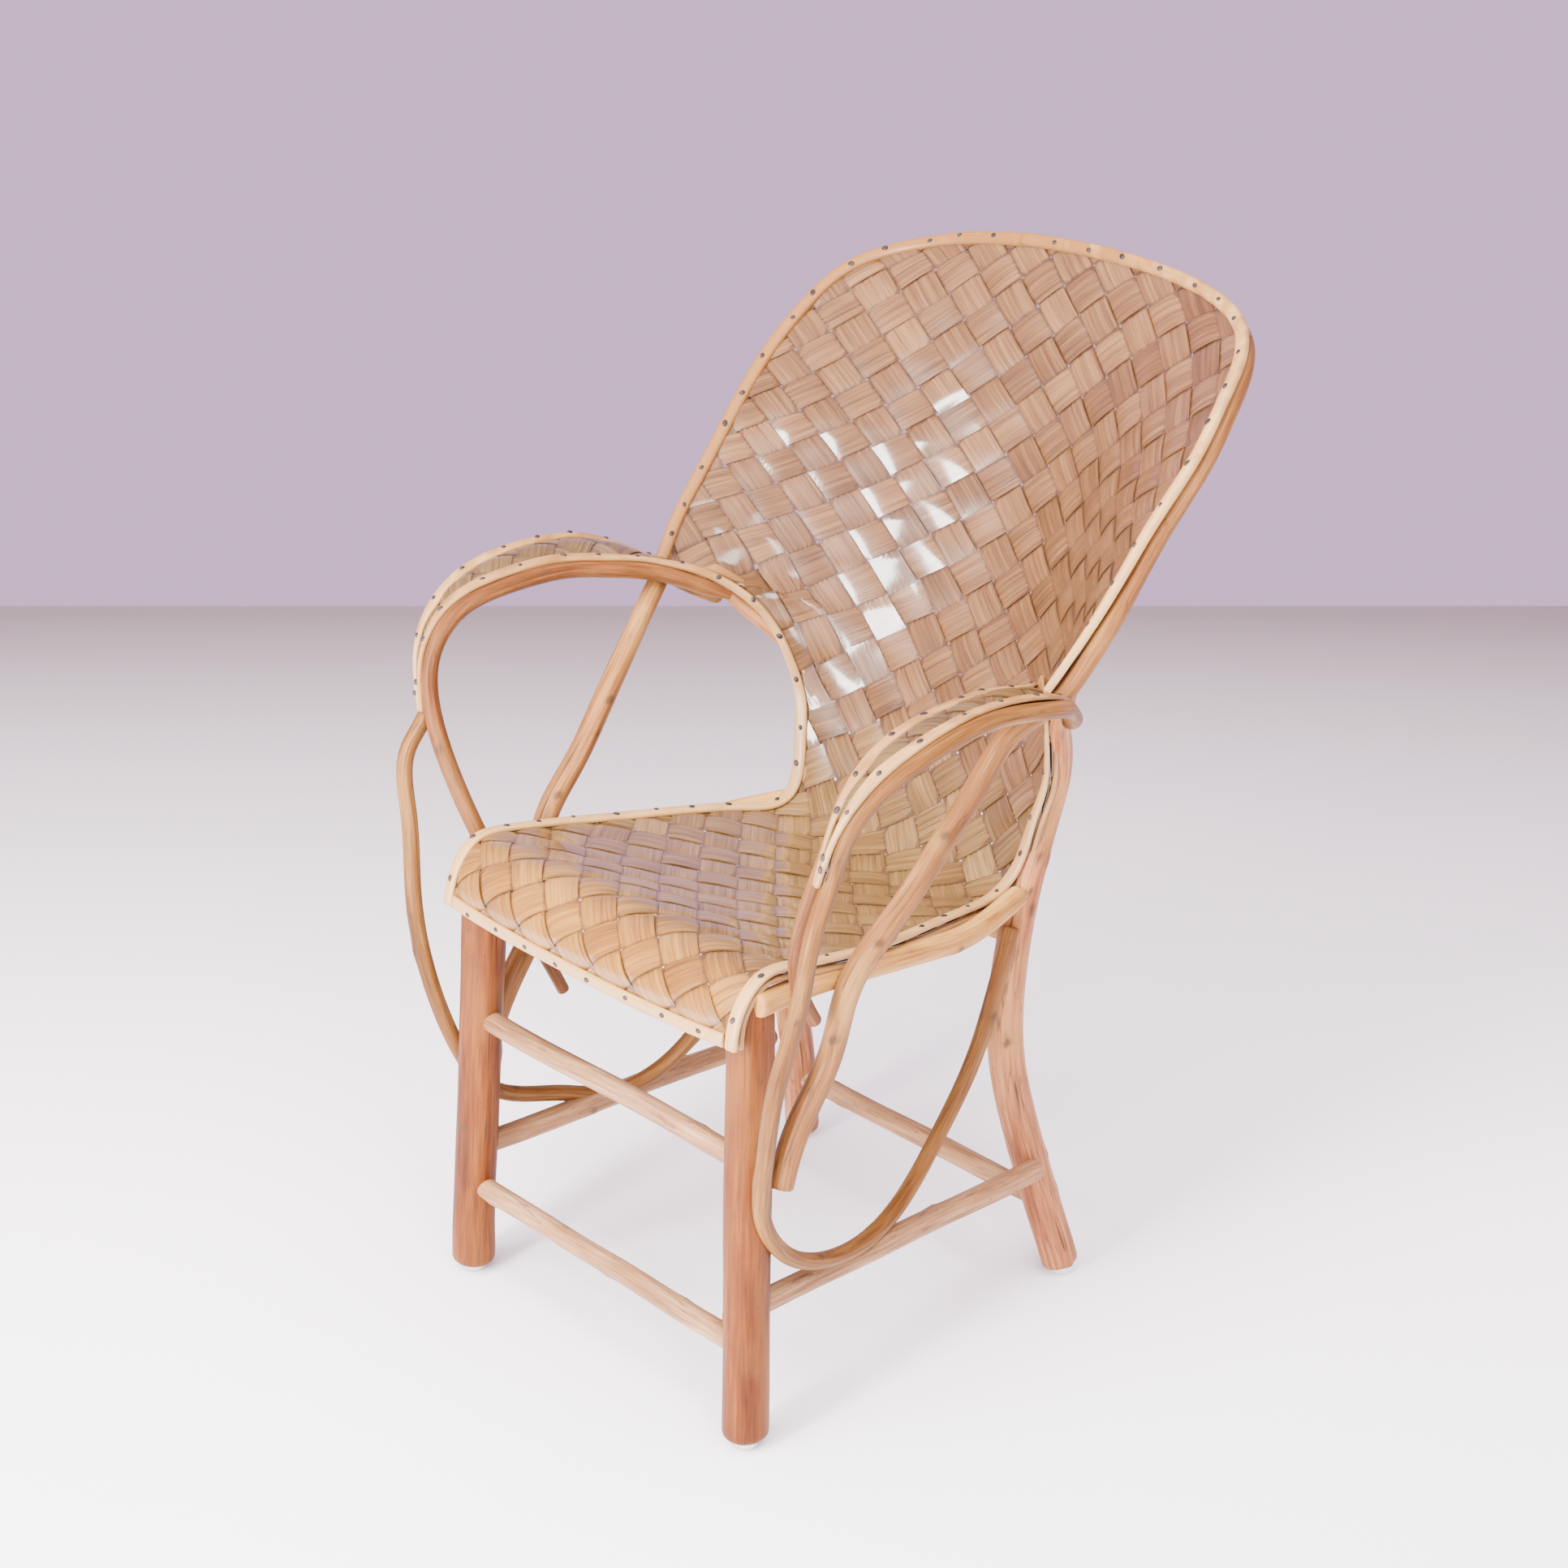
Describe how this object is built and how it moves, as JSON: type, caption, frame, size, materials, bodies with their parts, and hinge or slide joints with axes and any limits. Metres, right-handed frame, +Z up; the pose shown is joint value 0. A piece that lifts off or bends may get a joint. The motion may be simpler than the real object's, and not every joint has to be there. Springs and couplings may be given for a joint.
{
  "type": "chair",
  "caption": "Rustic armchair of debarked poles and bent rods with a woven splint seat, high rounded back and curled woven arms.",
  "frame": {"origin": "centre of the bounding box at the floor, under the seat", "axes": "+Z up, the seat faces -Y, +X to the sitter's left as seen from the front (viewer's right)"},
  "size_m": [0.6566, 0.6471, 0.974],
  "materials": {
    "leg_pole": "oiled, debarked",
    "back_pole": "oiled, debarked",
    "stretcher": "oiled, patches of inner bark",
    "bent_rod": "oiled, debarked",
    "splint": "glossy varnish",
    "rim": "satin, pale",
    "glide": "polished"
  },
  "bodies": {
    "root": {"arm_inner_rim_left": "rim", "arm_inner_rim_right": "rim", "arm_outer_rim_left": "rim", "arm_outer_rim_right": "rim", "arm_weave_left": "splint", "arm_weave_right": "splint", "back_pole_left": "back_pole", "back_pole_right": "back_pole", "back_rim": "rim", "front_cross_rail": "stretcher", "front_leg_left": "leg_pole", "front_leg_right": "leg_pole", "front_stretcher_lower": "stretcher", "front_stretcher_upper": "stretcher", "glides": "glide", "hoop_pole_left": "back_pole", "hoop_pole_right": "back_pole", "inner_arm_rod_left": "bent_rod", "inner_arm_rod_right": "bent_rod", "lip_rim_front": "rim", "lip_rim_rear": "rim", "outer_arm_rod_left": "bent_rod", "outer_arm_rod_right": "bent_rod", "rear_cross_rail": "stretcher", "rear_stretcher": "stretcher", "side_rail_left": "stretcher", "side_rail_right": "stretcher", "side_rim_lower_left": "rim", "side_rim_lower_right": "rim", "side_rim_upper_left": "rim", "side_rim_upper_right": "rim", "side_stretcher_left": "stretcher", "side_stretcher_right": "stretcher", "woven_seat_and_back": "splint"}
  },
  "joints": []
}
